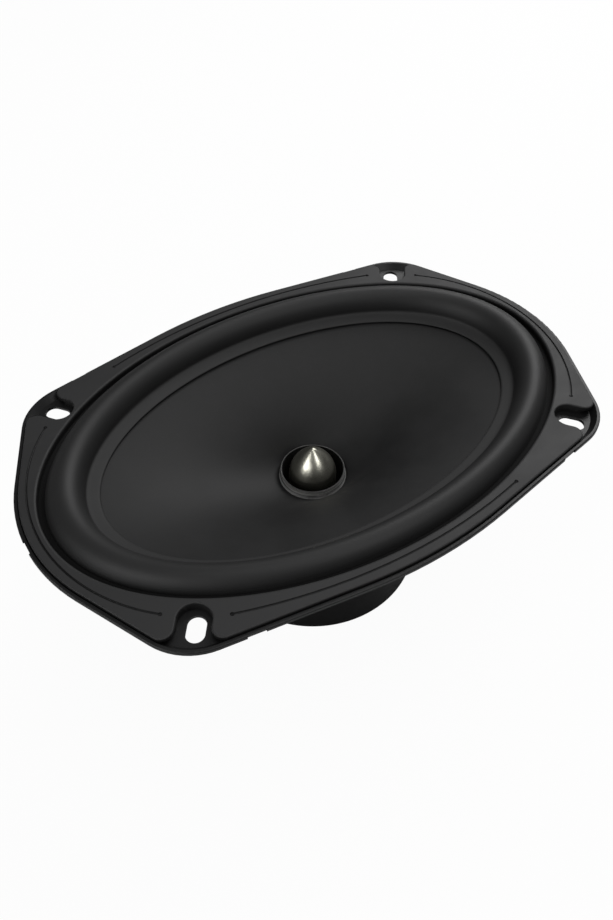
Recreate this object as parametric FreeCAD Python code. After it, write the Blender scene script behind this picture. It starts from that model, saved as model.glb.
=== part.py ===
import FreeCAD, Part
import math
import os

# An oval (6 x 9 inch) car loudspeaker with a fixed phase plug, in millimetres.
# z = 0 is the rear seating face of the flange, +Z points out of the front of the speaker,
# and +X runs along the long axis of the oval.

# Flange outline: a closed chain of round stretches joined by their common tangents.
# Each stretch of the first quadrant is (centre x, centre y, radius).
END_ROUND = (49.2, 0.0, 69.2)
EAR_ROUND = (77.5, 46.5, 24.0)
SIDE_ROUND = (0.0, -106.0, 187.0)

# The oval opening that the cone and its surround sit in
OPENING_HALF_LENGTH = 110.8
OPENING_HALF_WIDTH = 72.4

# Flange: a shallow tray with an upturned, lipped rim
FLOOR_THICKNESS = 1.2
SEAT_INSET = 2.4
RIM_NECK_INSET = 0.9
RIM_LIP_Z = 2.2
RIM_TOP_Z = 3.7
RIM_WALL_AT_TOP = 1.3
RIM_WALL_AT_FLOOR = 3.3
RIM_EDGE_ROUND = 0.5
CLIP_NOTCH_WIDTH = 6.5
CLIP_NOTCH_DEPTH = 0.5
CLIP_NOTCH_X = 69.0

# Screw slots in the four ears
SLOT_CENTRE = (84.0, 59.0)
SLOT_ANGLE = 53.0
SLOT_LENGTH = 10.0
SLOT_WIDTH = 6.5

# Trim ring
RING_TOP_Z = 4.9
RING_STEP_Z = 3.2
RING_INSET = 1.8
RING_FOOT_INSET = 3.6
RING_EDGE_ROUND = 0.6
RING_INNER_ROUND = 1.0
POCKET_CENTRE = (83.4, 57.4)
POCKET_RADIUS = 5.8
POCKET_CORNER = 4.0
GROOVE_WIDTH = 0.9
GROOVE_DEPTH = 0.6
GROOVE_END_RADIUS = 0.75
LONG_GROOVE_RADIUS = 210.0
LONG_GROOVE_CREST = 75.5
LONG_GROOVE_REACH = 72.5
FAR_GROOVE_STOP = 54.5
NEAR_GROOVE_STOP = 41.7
END_GROOVE_CREST = 113.3
END_GROOVE_TIP = (91.7, 50.0)

# Basket wall: (half length, half width, z) of the outer face from the flange down to the spider landing
WALL_SECTIONS = (
    (110.6, 72.0, 0.0),
    (108.6, 70.3, -6.0),
    (104.5, 67.2, -12.0),
    (90.0, 61.5, -20.0),
    (70.0, 56.0, -31.0),
    (52.0, 52.0, -41.0),
)
SHEET_THICKNESS = 1.0
LANDING_INNER_RADIUS = 41.0
SPOKE_ANGLES = (0.0, 38.0, 90.0, 142.0, 180.0, 218.0, 270.0, 322.0)
BOARD_SPOKE_ANGLE = 90.0
SPOKE_WIDTH = 14.0
RIB_WIDTH = 5.0
RIB_RISE = 0.7
RIB_ROOT = 0.3
RIB_INNER_OVAL = (50.0, 50.0)
RIB_OUTER_OVAL = (101.0, 65.0)
RIB_LOW_Z = -42.5
RIB_HIGH_Z = -9.0
WINDOW_CORNER = 4.0
WINDOW_TOP_INSET = 1.5
WINDOW_LANDING_MARGIN = 3.0

# Motor, from the basket's bottom plate down
BASKET_BOTTOM_Z = -53.6
TOP_PLATE_THICKNESS = 6.0
TOP_PLATE_RADIUS = 45.0
MAGNET_THICKNESS = 14.9
MAGNET_RADIUS = 46.0
MAGNET_BORE_RADIUS = 22.0
YOKE_THICKNESS = 5.0
YOKE_RADIUS = 44.0
COVER_RADIUS = 47.4
COVER_WALL = 1.3
COVER_FLOOR = 1.2
COVER_TOP_GAP = 0.4
COVER_EDGE_ROUND = 2.5
SCREW_CIRCLE_RADIUS = 30.0
SCREW_SHANK_RADIUS = 1.9
SCREW_HEAD_RADIUS = 3.6
SCREW_HEAD_HEIGHT = 1.8
SCREW_RECESS_LENGTH = 4.2
SCREW_RECESS_WIDTH = 0.9
SCREW_RECESS_DEPTH = 0.8
SCREW_LENGTH = 5.4
YOKE_CHAMFER = 1.2
POLE_WAIST_DEPTH = 1.2
POLE_TIP_OVERHANG = 2.0
COVER_GROOVE_RADIUS = 34.0
COVER_GROOVE_WIDTH = 1.4
COVER_GROOVE_DEPTH = 0.5

# Voice coil, magnetic gap and phase plug
FORMER_RADIUS = 13.6
FORMER_WALL = 0.5
FORMER_TOP_Z = -28.7
FORMER_BOTTOM_Z = -63.2
COIL_HEIGHT = 12.0
COIL_THICKNESS = 0.8
POLE_RADIUS = 12.5
GAP_OUTER_RADIUS = 15.2
BASKET_BORE_RADIUS = 16.6
PLUG_RADIUS = 10.1
PLUG_SHOULDER_Z = -32.0
PLUG_TIP_Z = -16.6
PLUG_TIP_RADIUS = 0.6
PLUG_BELLY_HEIGHT = 0.56
PLUG_BELLY_WIDTH = 0.74
STUD_RADIUS = 2.0
STUD_HALF_LENGTH = 8.0
STUD_END_PLAY = 0.5

# Cone: half axes grow from the round neck to the oval edge
CONE_NECK_RADIUS = 14.1
CONE_NECK_Z = -32.6
CONE_EDGE_Z = -2.2
CONE_HALF_LENGTH = 93.3
CONE_HALF_WIDTH = 57.6
CONE_SHEET = 0.8
LENGTH_STRAIGHTNESS = 0.8
WIDTH_STRAIGHTNESS = 0.45
CONE_SECTIONS = 9
BEAD_REACH = 1.3
BEAD_RISE = 1.4
BEAD_ROOT = 0.4

# Surround: a tall half roll between a lip on the flange and a lip on the cone.
# Each oval is (half length, half width), since the roll is narrower on the long sides.
SURROUND_SHEET = 0.8
LIP_OUTER = (113.2, 73.9)
LIP_CLEARANCE = 0.2
ROLL_OUTER = (108.9, 70.6)
ROLL_INNER = (94.0, 58.4)
ROLL_FOOT_Z = -0.5
ROLL_FOOT_SHEET = 0.5
ROLL_HEIGHT = 9.0
ROLL_STEPS = 8
CONE_LIP_INNER = (89.0, 53.3)
CONE_LIP_INNER_Z = -2.3

# Spider: a corrugated disc between the landing and the former
SPIDER_Z = -38.6
SPIDER_SHEET = 0.5
SPIDER_OUTER_RADIUS = 48.0
SPIDER_LIP_INNER = 43.0
SPIDER_NECK_RADIUS = 13.9
SPIDER_NECK_LIP = 1.5
SPACER_WALL_GAP = 0.5
SPIDER_ROLLS = 5
SPIDER_ROLL_HEIGHT = 1.5

# Terminal board across the spoke in the middle of the +Y side
BOARD_SEAT = (0.0, 59.35, -25.0)
BOARD_WIDTH = 34.0
BOARD_HEIGHT = 15.0
BOARD_THICKNESS = 2.0
BOARD_CORNER = 2.5
BOARD_RIVET_RADIUS = 1.6
BOARD_RIVET_SPACING = 8.0
BOARD_RIVET_RIM = 1.2
BOARD_RIVET_HEAD = 1.0
BOARD_RIVET_ROUND = 0.7
BOARD_RIVET_GRIP = 2.0
TERMINAL_X = 11.5
TAB_THICKNESS = 0.8
TAB_LENGTH = 21.0
TAB_HEAD = 5.0
TAB_POINT = 1.2
TAB_HOLE_RADIUS = 0.9
TAB_HOLE_FROM_POINT = 4.0
POSITIVE_TAB_WIDTH = 6.3
NEGATIVE_TAB_WIDTH = 4.8
EYELET_RADIUS = 1.5
EYELET_WALL = 0.5
EYELET_RIM = 0.9
EYELET_RIM_HEIGHT = 0.5
LUG_LENGTH = 6.5
LUG_WIDTH = 3.6
LUG_THICKNESS = 0.6
LUG_HEAD = 3.0

# Tinsel leads from the terminals to the former: the route of the +X one
LEAD_ROUTE = (
    (11.5, 59.0, -22.6),
    (11.3, 53.0, -20.6),
    (10.6, 45.0, -22.5),
    (9.8, 36.0, -27.5),
    (9.3, 27.5, -31.0),
    (8.9, 20.0, -34.2),
    (8.6, 13.4, -35.5),
)
LEAD_RADIUS = 0.7
LEAD_BEND_SHARE = 0.45
SOLDER_RADIUS = 1.3
SOLDER_Z = -35.8
SOLDER_ANGLE = 34.0

UP = FreeCAD.Vector(0, 0, 1)
ORIGIN = FreeCAD.Vector(0, 0, 0)


def point(x, y, z):
    return FreeCAD.Vector(x, y, z)


def disc(radius, low, high):
    return Part.makeCylinder(radius, high - low, point(0, 0, low))


def tube(outer, inner, low, high):
    return disc(outer, low, high).cut(disc(inner, low - 1, high + 1))


def oval_wire(half_length, half_width, z):
    """An ellipse, or a circle where both half axes are the same."""
    if abs(half_length - half_width) < 1e-6:
        curve = Part.Circle(point(0, 0, z), UP, half_length)
    else:
        curve = Part.Ellipse(point(0, 0, z), half_length, half_width)
    return Part.Wire([curve.toShape()])


def oval_block(half_length, half_width, low, high):
    face = Part.Face(oval_wire(half_length, half_width, low))
    return face.extrude(point(0, 0, high - low))


def oval_loft(sections):
    wires = [oval_wire(*section) for section in sections]
    return Part.makeLoft(wires, True, False)


def spun(profile_edges):
    """A solid of revolution about Z from closed profile edges in the XZ plane."""
    face = Part.Face(Part.Wire(profile_edges))
    return face.revolve(ORIGIN, UP, 360)


def polygon_edges(corners):
    """Closed chain of straight edges through (radius, z) corners in the XZ plane."""
    points = [point(radius, 0, z) for radius, z in corners]
    return [Part.makeLine(a, b) for a, b in zip(points, points[1:] + points[:1])]


def top_edges(shape, z):
    """The edges that lie in the shape's top face, which is at z."""
    return [edge for edge in shape.Edges if edge.BoundBox.ZMin > z - 0.01]


def turned(shape, degrees):
    copy = shape.copy()
    copy.rotate(ORIGIN, UP, degrees)
    return copy


def in_four_quadrants(shape):
    """The shape of the first quadrant and its three mirror images."""
    left = shape.mirror(ORIGIN, point(1, 0, 0))
    pair = [shape, left]
    return pair + [piece.mirror(ORIGIN, point(0, 1, 0)) for piece in pair]


# ---------------------------------------------------------------- flange outline


def all_rounds():
    """The eight round stretches of the outline, anticlockwise from +X."""
    end_x, _, end_r = END_ROUND
    ear_x, ear_y, ear_r = EAR_ROUND
    _, side_y, side_r = SIDE_ROUND
    return [
        (end_x, 0.0, end_r),
        (ear_x, ear_y, ear_r),
        (0.0, side_y, side_r),
        (-ear_x, ear_y, ear_r),
        (-end_x, 0.0, end_r),
        (-ear_x, -ear_y, ear_r),
        (0.0, -side_y, side_r),
        (ear_x, -ear_y, ear_r),
    ]


def tangent_angle(first, second):
    """Direction of the outward normal of the line that touches two neighbouring rounds."""
    dx = second[0] - first[0]
    dy = second[1] - first[1]
    distance = math.hypot(dx, dy)
    return math.atan2(dy, dx) - math.acos((first[2] - second[2]) / distance)


def on_round(stretch, angle, inset, z):
    radius = stretch[2] - inset
    return point(stretch[0] + radius * math.cos(angle), stretch[1] + radius * math.sin(angle), z)


def outline_wire(inset, z):
    """The flange outline moved inwards by the inset."""
    rounds = all_rounds()
    count = len(rounds)
    angles = [tangent_angle(rounds[i], rounds[(i + 1) % count]) for i in range(count)]
    edges = []
    for i, stretch in enumerate(rounds):
        start = angles[i - 1]
        sweep = (angles[i] - start) % (2 * math.pi)
        first = on_round(stretch, start, inset, z)
        middle = on_round(stretch, start + sweep / 2, inset, z)
        last = on_round(stretch, start + sweep, inset, z)
        following = on_round(rounds[(i + 1) % count], angles[i], inset, z)
        edges.append(Part.Arc(first, middle, last).toShape())
        edges.append(Part.makeLine(last, following))
    return Part.Wire(edges)


def outline_block(inset, low, high):
    return Part.Face(outline_wire(inset, low)).extrude(point(0, 0, high - low))


def outline_loft(low_inset, low, high_inset, high):
    return Part.makeLoft([outline_wire(low_inset, low), outline_wire(high_inset, high)], True, True)


# ---------------------------------------------------------------- basket


def clip_notches():
    """Six small notches in the rim's outer edge where a grille clips on."""
    depth = 2 * CLIP_NOTCH_DEPTH
    block = Part.makeBox(depth, CLIP_NOTCH_WIDTH, 4, point(-CLIP_NOTCH_DEPTH, -CLIP_NOTCH_WIDTH / 2, 1))
    ear_x, ear_y, ear_r = EAR_ROUND
    angle = tangent_angle(EAR_ROUND, SIDE_ROUND)
    reach = ear_x * math.cos(angle) + ear_y * math.sin(angle) + ear_r
    side_notch = turned(block, math.degrees(angle))
    side_y = (reach - CLIP_NOTCH_X * math.cos(angle)) / math.sin(angle)
    side_notch.translate(point(CLIP_NOTCH_X, side_y, 0))
    end_notch = block.copy()
    end_notch.translate(point(END_ROUND[0] + END_ROUND[2], 0, 0))
    return in_four_quadrants(side_notch) + [end_notch, turned(end_notch, 180)]


def slot_block(centre, angle, length, width, low, high):
    """A straight slot with round ends, its long axis at the angle."""
    radius = width / 2
    reach = length / 2 - radius
    height = high - low
    body = Part.makeBox(2 * reach, width, height, point(-reach, -radius, low))
    for side in (-reach, reach):
        body = body.fuse(Part.makeCylinder(radius, height, point(side, 0, low)))
    body = turned(body.removeSplitter(), angle)
    body.translate(point(centre[0], centre[1], 0))
    return body


def tray():
    """The flange: seating floor, flared wall and lipped rim, with slots and notches."""
    outside = outline_loft(SEAT_INSET, 0, RIM_NECK_INSET, RIM_LIP_Z)
    lip = outline_block(0, RIM_LIP_Z, RIM_TOP_Z)
    lip = lip.makeFillet(RIM_EDGE_ROUND, top_edges(lip, RIM_TOP_Z))
    inside = outline_loft(RIM_WALL_AT_FLOOR, FLOOR_THICKNESS, RIM_WALL_AT_TOP, RIM_TOP_Z)
    return outside.fuse(lip).cut(inside)


def wall_volume(outset, rise):
    sections = [(a + outset, b + outset, z + rise) for a, b, z in WALL_SECTIONS]
    return oval_loft(sections)


def spoke_strip(width, angle):
    """A long block from the motor's axis outwards, over the full depth of a spoke."""
    length = OPENING_HALF_LENGTH
    low = BASKET_BOTTOM_Z
    strip = Part.makeBox(length, width, -low, point(0, -width / 2, low))
    return turned(strip, angle)


def window_cutters():
    """The gaps between the spokes, seen from the front, as blocks with rounded corners."""
    landing = WALL_SECTIONS[-1][0] + WINDOW_LANDING_MARGIN
    shoulder = WALL_SECTIONS[2]
    high = WALL_SECTIONS[1][2] - 1
    low = BASKET_BOTTOM_Z + 1
    band = oval_block(shoulder[0] - WINDOW_TOP_INSET, shoulder[1] - WINDOW_TOP_INSET, low, high)
    band = band.cut(disc(landing, low - 1, high + 1))
    pieces = band.cut([spoke_strip(SPOKE_WIDTH, angle) for angle in SPOKE_ANGLES]).Solids
    rounded = []
    for piece in pieces:
        upright = [e for e in piece.Edges if e.BoundBox.ZLength > (high - low) * 0.9]
        rounded.append(piece.makeFillet(WINDOW_CORNER, upright))
    return rounded


def ribs():
    """A raised bead down the outside of each spoke but the one that carries the terminal board."""
    skin = wall_volume(RIB_RISE, -RIB_RISE).cut(wall_volume(-RIB_ROOT, RIB_ROOT))
    zone = oval_block(*RIB_OUTER_OVAL, RIB_LOW_Z, RIB_HIGH_Z)
    zone = zone.cut(oval_block(*RIB_INNER_OVAL, RIB_LOW_Z - 1, RIB_HIGH_Z + 1))
    angles = [angle for angle in SPOKE_ANGLES if angle != BOARD_SPOKE_ANGLE]
    return [spoke_strip(RIB_WIDTH, angle).common(zone).common(skin) for angle in angles]


def basket():
    """Flange, spoked wall, spider landing, motor cup and bottom plate in one pressing."""
    landing_z = WALL_SECTIONS[-1][2]
    body = tray().fuse(wall_volume(0, 0))
    inner = wall_volume(-SHEET_THICKNESS, SHEET_THICKNESS)
    mouth = WALL_SECTIONS[0]
    mouth_length = mouth[0] - SHEET_THICKNESS
    mouth_width = mouth[1] - SHEET_THICKNESS
    inner = inner.fuse(oval_block(mouth_length, mouth_width, SHEET_THICKNESS, RIM_TOP_Z))
    body = body.cut(inner)
    body = body.cut(window_cutters())
    for bead in ribs():
        body = body.fuse(bead)
    cup_inner_radius = LANDING_INNER_RADIUS - SHEET_THICKNESS
    landing_top = landing_z + SHEET_THICKNESS
    body = body.cut(disc(cup_inner_radius, landing_z - 1, landing_top + 1))
    body = body.fuse(tube(LANDING_INNER_RADIUS, cup_inner_radius, BASKET_BOTTOM_Z, landing_top))
    bottom_top = BASKET_BOTTOM_Z + SHEET_THICKNESS
    bottom = tube(LANDING_INNER_RADIUS, BASKET_BORE_RADIUS, BASKET_BOTTOM_Z, bottom_top)
    body = body.fuse(bottom)
    slot = slot_block(SLOT_CENTRE, SLOT_ANGLE, SLOT_LENGTH, SLOT_WIDTH, -1, 3)
    rivet_holes = [on_spoke(shank) for shank in board_rivets_at(BOARD_RIVET_RADIUS, -4, 2)]
    body = body.cut(in_four_quadrants(slot) + clip_notches() + screw_shanks() + rivet_holes)
    return body.removeSplitter()


# ---------------------------------------------------------------- trim ring


def pocket_block(low, high):
    """A pocket round a screw slot, open towards the rim."""
    round_end = Part.makeCylinder(POCKET_RADIUS, high - low, point(0, 0, low))
    open_end = Part.makeBox(40, 2 * POCKET_RADIUS, high - low, point(0, -POCKET_RADIUS, low))
    body = turned(round_end.fuse(open_end).removeSplitter(), SLOT_ANGLE)
    body.translate(point(POCKET_CENTRE[0], POCKET_CENTRE[1], 0))
    return body


def notched_ring(inset, low, high):
    """One layer of the trim ring with rounded corners at the mouths of its pockets."""
    layer = outline_block(inset, low, high)
    layer = layer.cut(in_four_quadrants(pocket_block(low - 1, high + 1)))
    mouths = []
    for edge in layer.Edges:
        upright = edge.BoundBox.ZLength > (high - low) * 0.9
        if upright and mouth_corner(edge, inset):
            mouths.append(edge)
    return layer.makeFillet(POCKET_CORNER, mouths)


def mouth_corner(edge, inset):
    """True for an upright edge where a pocket's side meets the outline."""
    x = abs(edge.Vertexes[0].X) - EAR_ROUND[0]
    y = abs(edge.Vertexes[0].Y) - EAR_ROUND[1]
    angle = math.radians(SLOT_ANGLE)
    across = (x + EAR_ROUND[0] - POCKET_CENTRE[0]) * math.sin(angle)
    across -= (y + EAR_ROUND[1] - POCKET_CENTRE[1]) * math.cos(angle)
    on_outline = math.hypot(x, y) > EAR_ROUND[2] - inset - 0.5
    return on_outline and abs(abs(across) - POCKET_RADIUS) < 0.05


def groove(start, middle, end):
    """A round-bottomed groove along an arc in the ring's top face, with a dimple at each end."""
    path = Part.Wire([Part.Arc(point(*start), point(*middle), point(*end)).toShape()])
    direction = path.Edges[0].tangentAt(path.Edges[0].FirstParameter)
    circle = Part.Wire([Part.Circle(point(*start), direction, GROOVE_WIDTH / 2).toShape()])
    body = path.makePipeShell([circle], True, True)
    for stop in (start, end):
        body = body.fuse(Part.makeSphere(GROOVE_END_RADIUS, point(*stop)))
    return body


def grooves():
    """Two long and two short grooves; one end of each long one stops early."""
    z = RING_TOP_Z + GROOVE_WIDTH / 2 - GROOVE_DEPTH
    centre_y = LONG_GROOVE_CREST - LONG_GROOVE_RADIUS

    def on_long(x, side):
        return (x, side * (centre_y + math.sqrt(LONG_GROOVE_RADIUS**2 - x**2)), z)

    far_side = groove(on_long(-FAR_GROOVE_STOP, 1), on_long(0, 1), on_long(LONG_GROOVE_REACH, 1))
    near_side = groove(on_long(-LONG_GROOVE_REACH, -1), on_long(0, -1), on_long(NEAR_GROOVE_STOP, -1))
    tip_x, tip_y = END_GROOVE_TIP
    end = groove((tip_x, -tip_y, z), (END_GROOVE_CREST, 0, z), (tip_x, tip_y, z))
    return [far_side, near_side, end, turned(end, 180)]


def trim_ring():
    upper = notched_ring(RING_INSET, RING_STEP_Z, RING_TOP_Z)
    upper = upper.makeFillet(RING_EDGE_ROUND, top_edges(upper, RING_TOP_Z))
    opening = oval_block(OPENING_HALF_LENGTH, OPENING_HALF_WIDTH, 0, RING_TOP_Z + 1)
    upper = upper.cut(opening)
    inner_edges = [e for e in top_edges(upper, RING_TOP_Z) if e.BoundBox.XLength > OPENING_HALF_LENGTH]
    upper = upper.makeFillet(RING_INNER_ROUND, inner_edges)
    lower = notched_ring(RING_FOOT_INSET, FLOOR_THICKNESS, RING_STEP_Z).cut(opening)
    lip_length = LIP_OUTER[0] + LIP_CLEARANCE
    lip_width = LIP_OUTER[1] + LIP_CLEARANCE
    lip_space = oval_block(lip_length, lip_width, 0, FLOOR_THICKNESS + SURROUND_SHEET)
    return upper.fuse(lower).cut([lip_space] + grooves()).removeSplitter()


# ---------------------------------------------------------------- moving cone


def cone_volume(drop):
    """The space inside the cone's front face, moved down by the drop."""
    sections = []
    for i in range(CONE_SECTIONS):
        t = i / (CONE_SECTIONS - 1)
        along = LENGTH_STRAIGHTNESS * t + (1 - LENGTH_STRAIGHTNESS) * t**3
        across = WIDTH_STRAIGHTNESS * t + (1 - WIDTH_STRAIGHTNESS) * t**3
        a = CONE_NECK_RADIUS + (CONE_HALF_LENGTH - CONE_NECK_RADIUS) * along
        b = CONE_NECK_RADIUS + (CONE_HALF_WIDTH - CONE_NECK_RADIUS) * across
        sections.append((a, b, CONE_NECK_Z + (CONE_EDGE_Z - CONE_NECK_Z) * t - drop))
    return oval_loft(sections)


def cone():
    shell = cone_volume(CONE_SHEET).cut(cone_volume(0))
    return shell.cut(disc(FORMER_RADIUS, CONE_NECK_Z - 3, CONE_NECK_Z + 3))


def voice_coil_former():
    return tube(FORMER_RADIUS, FORMER_RADIUS - FORMER_WALL, FORMER_BOTTOM_Z, FORMER_TOP_Z)


def voice_coil_winding():
    gap_middle = BASKET_BOTTOM_Z - TOP_PLATE_THICKNESS / 2
    low = gap_middle - COIL_HEIGHT / 2
    return tube(FORMER_RADIUS + COIL_THICKNESS, FORMER_RADIUS, low, low + COIL_HEIGHT)


def neck_glue_bead():
    """Fillet of glue in the corner between the former and the front of the cone."""
    low = CONE_NECK_Z - BEAD_ROOT
    reach = FORMER_RADIUS + BEAD_REACH
    corners = [(FORMER_RADIUS, low), (reach, low), (FORMER_RADIUS, low + BEAD_ROOT + BEAD_RISE)]
    return spun(polygon_edges(corners)).common(cone_volume(0))


def solder_joints():
    """Two beads on the former where the tinsel leads join the coil's tails."""
    beads = []
    for side in (-1, 1):
        angle = math.radians(90 - side * SOLDER_ANGLE)
        centre = point(FORMER_RADIUS * math.cos(angle), FORMER_RADIUS * math.sin(angle), SOLDER_Z)
        bead = Part.makeSphere(SOLDER_RADIUS, centre)
        beads.append(bead.cut(disc(FORMER_RADIUS, SOLDER_Z - 3, SOLDER_Z + 3)))
    return Part.makeCompound(beads)


# ---------------------------------------------------------------- soft suspension


def roll_ovals(outer, inner, foot_z, crest_z, start_z):
    """Ovals over a half roll, from where its outer flank passes start_z to its inner foot."""
    height = crest_z - foot_z
    start = math.asin((start_z - foot_z) / height)
    ovals = []
    for i in range(ROLL_STEPS + 1):
        angle = start + (math.pi - start) * i / ROLL_STEPS
        share = (1 - math.cos(angle)) / 2
        half_length = outer[0] + (inner[0] - outer[0]) * share
        half_width = outer[1] + (inner[1] - outer[1]) * share
        ovals.append((half_length, half_width, foot_z + height * math.sin(angle)))
    return ovals


def surround():
    """Flange lip, half roll and cone lip as a closed chain of bands between ovals."""
    sheet = SURROUND_SHEET
    crest_z = ROLL_FOOT_Z + ROLL_HEIGHT
    lip_top = FLOOR_THICKNESS + sheet
    top = roll_ovals(ROLL_OUTER, ROLL_INNER, ROLL_FOOT_Z, crest_z, lip_top)
    outer_low = (ROLL_OUTER[0] - sheet, ROLL_OUTER[1] - sheet)
    inner_low = (ROLL_INNER[0] + sheet, ROLL_INNER[1] + sheet)
    foot_low_z = ROLL_FOOT_Z - ROLL_FOOT_SHEET
    low = roll_ovals(outer_low, inner_low, foot_low_z, crest_z - sheet, FLOOR_THICKNESS)
    lip = [(*LIP_OUTER, FLOOR_THICKNESS), (*LIP_OUTER, lip_top)]
    cone_lip = [(*CONE_LIP_INNER, CONE_LIP_INNER_Z), (*CONE_LIP_INNER, CONE_LIP_INNER_Z - sheet)]
    chain = lip + top + cone_lip + low[::-1]
    faces = []
    for first, second in zip(chain, chain[1:] + chain[:1]):
        band = Part.makeLoft([oval_wire(*first), oval_wire(*second)], False, True)
        faces.extend(band.Faces)
    return Part.Solid(Part.Shell(faces))


def spider():
    """A corrugated disc: a row of round-topped waves between two flat lips."""
    pitch = (SPIDER_LIP_INNER - SPIDER_NECK_RADIUS - SPIDER_NECK_LIP) / SPIDER_ROLLS
    top = []
    for i in range(SPIDER_ROLLS * 4 + 1):
        phase = i / 4
        radius = SPIDER_LIP_INNER - phase * pitch
        wave = SPIDER_ROLL_HEIGHT / 2 * math.sin(2 * math.pi * phase)
        top.append(point(radius, 0, SPIDER_Z + wave))
    drop = point(0, 0, -SPIDER_SHEET)
    wave_top = Part.BSplineCurve()
    wave_top.interpolate(top)
    wave_low = Part.BSplineCurve()
    wave_low.interpolate([p + drop for p in reversed(top)])
    outer = point(SPIDER_OUTER_RADIUS, 0, SPIDER_Z)
    neck = point(SPIDER_NECK_RADIUS, 0, SPIDER_Z)
    chain = [
        Part.makeLine(outer, top[0]),
        wave_top.toShape(),
        Part.makeLine(top[-1], neck),
        Part.makeLine(neck, neck + drop),
        Part.makeLine(neck + drop, top[-1] + drop),
        wave_low.toShape(),
        Part.makeLine(top[0] + drop, outer + drop),
        Part.makeLine(outer + drop, outer),
    ]
    return spun(chain)


def spider_ring():
    """Spacer ring that lifts the spider's lip off the landing."""
    landing_top = WALL_SECTIONS[-1][2] + SHEET_THICKNESS
    inner_radius = SPIDER_LIP_INNER + SPACER_WALL_GAP
    return tube(SPIDER_OUTER_RADIUS, inner_radius, landing_top, SPIDER_Z - SPIDER_SHEET)


# ---------------------------------------------------------------- motor


def screw_angles():
    return [45 + 90 * i for i in range(4)]


def screw_shanks():
    low = BASKET_BOTTOM_Z + SHEET_THICKNESS - SCREW_LENGTH
    shank = Part.makeCylinder(SCREW_SHANK_RADIUS, SCREW_LENGTH, point(SCREW_CIRCLE_RADIUS, 0, low))
    return [turned(shank, angle) for angle in screw_angles()]


def basket_screws():
    """Four pan-head screws with cross recesses that hold the basket to the top plate."""
    seat = BASKET_BOTTOM_Z + SHEET_THICKNESS
    head = disc(SCREW_HEAD_RADIUS, seat, seat + SCREW_HEAD_HEIGHT)
    head = head.makeFillet(SCREW_HEAD_HEIGHT / 2, top_edges(head, seat + SCREW_HEAD_HEIGHT))
    length = SCREW_RECESS_LENGTH
    width = SCREW_RECESS_WIDTH
    recess_z = seat + SCREW_HEAD_HEIGHT - SCREW_RECESS_DEPTH
    slot = Part.makeBox(length, width, SCREW_HEAD_HEIGHT, point(-length / 2, -width / 2, recess_z))
    head = head.cut([slot, turned(slot, 90)])
    head.translate(point(SCREW_CIRCLE_RADIUS, 0, 0))
    heads = [turned(head, angle) for angle in screw_angles()]
    return Part.makeCompound([cap.fuse(shank) for cap, shank in zip(heads, screw_shanks())])


def plate_bottom_z():
    return BASKET_BOTTOM_Z - TOP_PLATE_THICKNESS


def top_plate():
    plate = tube(TOP_PLATE_RADIUS, GAP_OUTER_RADIUS, plate_bottom_z(), BASKET_BOTTOM_Z)
    return plate.cut(screw_shanks())


def ferrite_magnet():
    top = plate_bottom_z()
    return tube(MAGNET_RADIUS, MAGNET_BORE_RADIUS, top - MAGNET_THICKNESS, top)


def yoke_top_z():
    return plate_bottom_z() - MAGNET_THICKNESS


def pole_yoke():
    """Back plate and waisted centre pole in one piece, with a tapped hole for the plug's stud."""
    top = yoke_top_z()
    plate = disc(YOKE_RADIUS, top - YOKE_THICKNESS, top)
    rim = [edge for edge in plate.Edges if edge.BoundBox.ZMax < top - YOKE_THICKNESS + 0.01]
    plate = plate.makeChamfer(YOKE_CHAMFER, rim)
    waist_top = plate_bottom_z() - POLE_TIP_OVERHANG
    pole = disc(POLE_RADIUS - POLE_WAIST_DEPTH, top - 1, waist_top)
    pole_tip = disc(POLE_RADIUS, waist_top, BASKET_BOTTOM_Z)
    stud_hole = disc(STUD_RADIUS, BASKET_BOTTOM_Z - STUD_HALF_LENGTH, BASKET_BOTTOM_Z + 1)
    return plate.fuse([pole, pole_tip]).cut(stud_hole).removeSplitter()


def phase_plug():
    """A pointed metal bullet that stands on the pole, inside the former."""
    rise = PLUG_TIP_Z - PLUG_SHOULDER_Z
    belly_z = PLUG_SHOULDER_Z + rise * PLUG_BELLY_HEIGHT
    shoulder = point(PLUG_RADIUS, 0, PLUG_SHOULDER_Z)
    belly = point(PLUG_RADIUS * PLUG_BELLY_WIDTH, 0, belly_z)
    tip_side = point(PLUG_TIP_RADIUS, 0, PLUG_TIP_Z)
    tip = point(0, 0, PLUG_TIP_Z)
    base = point(0, 0, BASKET_BOTTOM_Z)
    base_side = point(PLUG_RADIUS, 0, BASKET_BOTTOM_Z)
    outline = [
        Part.makeLine(base_side, shoulder),
        Part.Arc(shoulder, belly, tip_side).toShape(),
        Part.makeLine(tip_side, tip),
        Part.makeLine(tip, base),
        Part.makeLine(base, base_side),
    ]
    stud_hole = disc(STUD_RADIUS, BASKET_BOTTOM_Z - 1, BASKET_BOTTOM_Z + STUD_HALF_LENGTH)
    return spun(outline).cut(stud_hole)


def plug_stud():
    reach = STUD_HALF_LENGTH - STUD_END_PLAY
    return disc(STUD_RADIUS, BASKET_BOTTOM_Z - reach, BASKET_BOTTOM_Z + reach)


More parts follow.
